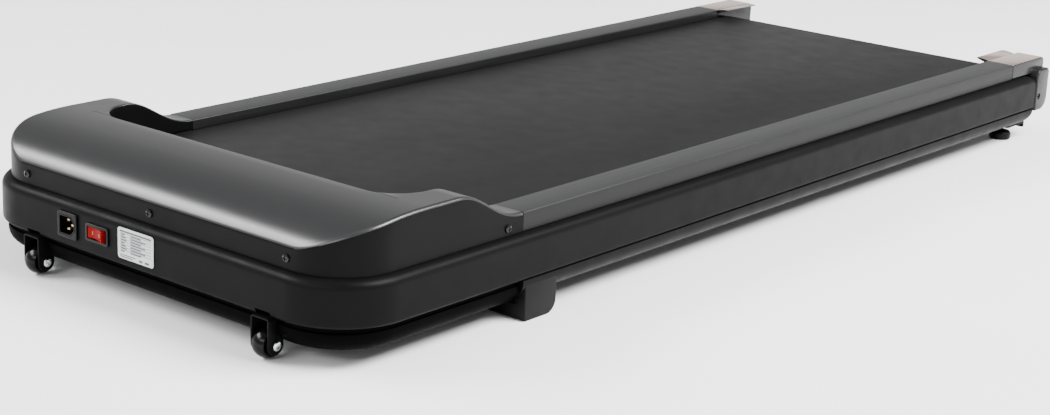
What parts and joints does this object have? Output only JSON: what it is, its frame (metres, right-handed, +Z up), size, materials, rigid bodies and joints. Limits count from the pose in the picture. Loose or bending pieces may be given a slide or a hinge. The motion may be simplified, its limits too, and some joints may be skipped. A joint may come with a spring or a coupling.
{
  "type": "walking pad treadmill",
  "caption": "Flat under-desk treadmill: bent-tube frame, motor hood with rear ears, walking belt on two rollers, side rails, end caps, transport wheels and levelling feet.",
  "frame": {"origin": "on the floor, at the middle of the overall length and width", "axes": "+X to the right, +Y towards the rear end of the belt (the motor end faces -Y), +Z up"},
  "size_m": [0.509, 1.3012, 0.135],
  "materials": {
    "frame_paint": "fine black powder coat",
    "hood_plastic": "satin grey moulded plastic",
    "pan_plastic": "matt black moulded plastic",
    "rail_plastic": "fine brushed grain, dark grey",
    "cap_plastic": "glossy grey with a warm tint",
    "belt_fabric": "matt black woven-back PVC belt",
    "rubber": "matt black rubber",
    "black_plastic": "glossy black plastic",
    "steel": "plain turned steel",
    "chrome": "bright plated steel",
    "brass": "plated brass",
    "red_plastic": "translucent red plastic",
    "plate_foil": "satin silver foil, blank ruled lines",
    "wood": "lacquered fibreboard",
    "motor_paint": "black motor enamel",
    "cast_aluminium": "cast and machined aluminium"
  },
  "bodies": {
    "chassis": {"frame_tube": "frame_paint", "front_cross_member": "frame_paint", "middle_cross_member": "frame_paint", "rear_cross_member": "frame_paint", "motor_hood": "hood_plastic", "hood_screw_front_left": "chrome", "hood_screw_front_middle": "chrome", "hood_screw_front_right": "chrome", "hood_screw_left": "chrome", "hood_screw_right": "chrome", "belly_pan": "pan_plastic", "left_side_rail": "rail_plastic", "right_side_rail": "rail_plastic", "deck_board": "wood", "deck_cushion_front_left": "rubber", "deck_cushion_front_right": "rubber", "deck_cushion_middle_left": "rubber", "deck_cushion_middle_right": "rubber", "deck_cushion_rear_left": "rubber", "deck_cushion_rear_right": "rubber", "walking_belt": "belt_fabric", "front_roller_axle": "steel", "rear_roller_axle": "steel", "drive_belt": "rubber", "drive_motor": "motor_paint", "motor_mount_plate": "steel", "motor_controller": "cast_aluminium", "power_inlet": "black_plastic", "inlet_pin_line": "brass", "inlet_pin_neutral": "brass", "inlet_pin_earth": "brass", "switch_housing": "black_plastic", "rating_plate": "plate_foil", "motor_lead": "rubber", "left_wheel_fork": "frame_paint", "left_wheel_bolt": "chrome", "left_support_block": "rubber", "left_end_cap": "cap_plastic", "left_cap_screw": "chrome", "right_wheel_fork": "frame_paint", "right_wheel_bolt": "chrome", "right_support_block": "rubber", "right_end_cap": "cap_plastic", "right_cap_screw": "chrome"},
    "front_roller_body": {"front_roller": "steel", "roller_pulley": "cast_aluminium", "front_roller_bearing_left": "steel", "front_roller_bearing_right": "steel"},
    "rear_roller_body": {"rear_roller": "steel", "rear_roller_bearing_left": "steel", "rear_roller_bearing_right": "steel"},
    "motor_rotor": {"motor_shaft": "steel", "motor_pulley": "steel"},
    "left_wheel_body": {"left_wheel": "black_plastic"},
    "right_wheel_body": {"right_wheel": "black_plastic"},
    "rocker": {"switch_rocker": "red_plastic"},
    "left_foot": {"left_levelling_foot": "rubber"},
    "right_foot": {"right_levelling_foot": "rubber"},
    "left_tensioner": {"left_tension_bolt": "steel"},
    "right_tensioner": {"right_tension_bolt": "steel"}
  },
  "joints": [
    {"name": "front_roller_spin", "type": "hinge", "parent": "chassis", "child": "front_roller_body", "pos_m": [0, -0.52155, 0.0712], "axis": [1, 0, 0], "continuous": true},
    {"name": "rear_roller_spin", "type": "hinge", "parent": "chassis", "child": "rear_roller_body", "pos_m": [0, 0.58145, 0.0712], "axis": [1, 0, 0], "continuous": true},
    {"name": "motor_spin", "type": "hinge", "parent": "chassis", "child": "motor_rotor", "pos_m": [0, -0.57955, 0.0546], "axis": [1, 0, 0], "continuous": true},
    {"name": "left_wheel_spin", "type": "hinge", "parent": "chassis", "child": "left_wheel_body", "pos_m": [-0.1586, -0.63705, 0.0145], "axis": [1, 0, 0], "continuous": true},
    {"name": "right_wheel_spin", "type": "hinge", "parent": "chassis", "child": "right_wheel_body", "pos_m": [0.1586, -0.63705, 0.0145], "axis": [1, 0, 0], "continuous": true},
    {"name": "switch_rock", "type": "hinge", "parent": "chassis", "child": "rocker", "pos_m": [-0.0622, -0.63835, 0.0631], "axis": [0, 0, 1], "range_deg": [0, 18]},
    {"name": "left_foot_turn", "type": "hinge", "parent": "chassis", "child": "left_foot", "pos_m": [-0.222, 0.59445, 0], "axis": [0, 0, 1], "range_deg": [-360, 360]},
    {"name": "right_foot_turn", "type": "hinge", "parent": "chassis", "child": "right_foot", "pos_m": [0.222, 0.59445, 0], "axis": [0, 0, 1], "range_deg": [-360, 360]},
    {"name": "left_tension_turn", "type": "hinge", "parent": "chassis", "child": "left_tensioner", "pos_m": [-0.219, 0.65045, 0.0712], "axis": [0, 1, 0], "range_deg": [-360, 360]},
    {"name": "right_tension_turn", "type": "hinge", "parent": "chassis", "child": "right_tensioner", "pos_m": [0.219, 0.65045, 0.0712], "axis": [0, 1, 0], "range_deg": [-360, 360]}
  ],
  "couplings": [
    {"joint": "rear_roller_spin", "follows": "front_roller_spin", "ratio": 1},
    {"joint": "motor_spin", "follows": "front_roller_spin", "ratio": 3}
  ]
}
